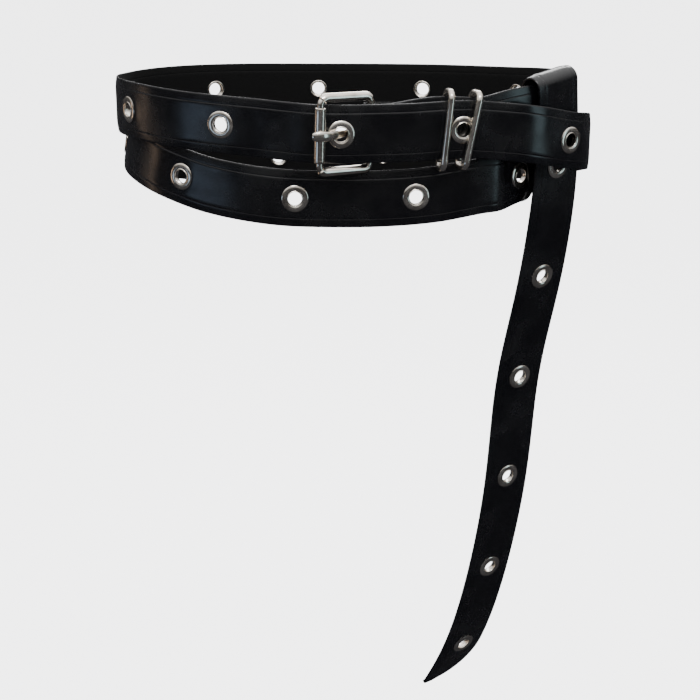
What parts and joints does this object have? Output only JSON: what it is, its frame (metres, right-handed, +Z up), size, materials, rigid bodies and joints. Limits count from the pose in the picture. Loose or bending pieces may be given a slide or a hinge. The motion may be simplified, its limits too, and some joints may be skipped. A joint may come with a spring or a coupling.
{
  "type": "wrap belt",
  "caption": "Long glossy black strap with metal eyelets, wound twice round the waist, held by a roller buckle, with its free end turned over at the side and hanging down.",
  "frame": {"origin": "middle of the waist opening, at the mid height of the first turn", "axes": "+Z up, -Y towards the front with the buckle, +X towards the side with the hanging end"},
  "size_m": [0.2873, 0.1946, 0.4341],
  "materials": {
    "strap_gloss": "glossy black patent vinyl",
    "nickel": "polished nickel plate"
  },
  "bodies": {
    "root": {"strap": "strap_gloss", "eyelet_01": "nickel", "eyelet_02": "nickel", "eyelet_03": "nickel", "eyelet_04": "nickel", "eyelet_05": "nickel", "eyelet_06": "nickel", "eyelet_07": "nickel", "eyelet_08": "nickel", "eyelet_09": "nickel", "eyelet_10": "nickel", "eyelet_11": "nickel", "eyelet_12": "nickel", "eyelet_13": "nickel", "eyelet_14": "nickel", "eyelet_15": "nickel", "eyelet_16": "nickel", "eyelet_17": "nickel", "eyelet_18": "nickel", "eyelet_19": "nickel", "eyelet_20": "nickel", "eyelet_21": "nickel", "eyelet_22": "nickel", "eyelet_23": "nickel", "eyelet_24": "nickel", "eyelet_25": "nickel", "eyelet_26": "nickel", "eyelet_27": "nickel", "eyelet_28": "nickel", "eyelet_29": "nickel", "buckle_frame": "nickel", "buckle_roller": "nickel", "buckle_prong": "nickel", "keeper_left": "nickel", "keeper_right": "nickel"}
  },
  "joints": []
}
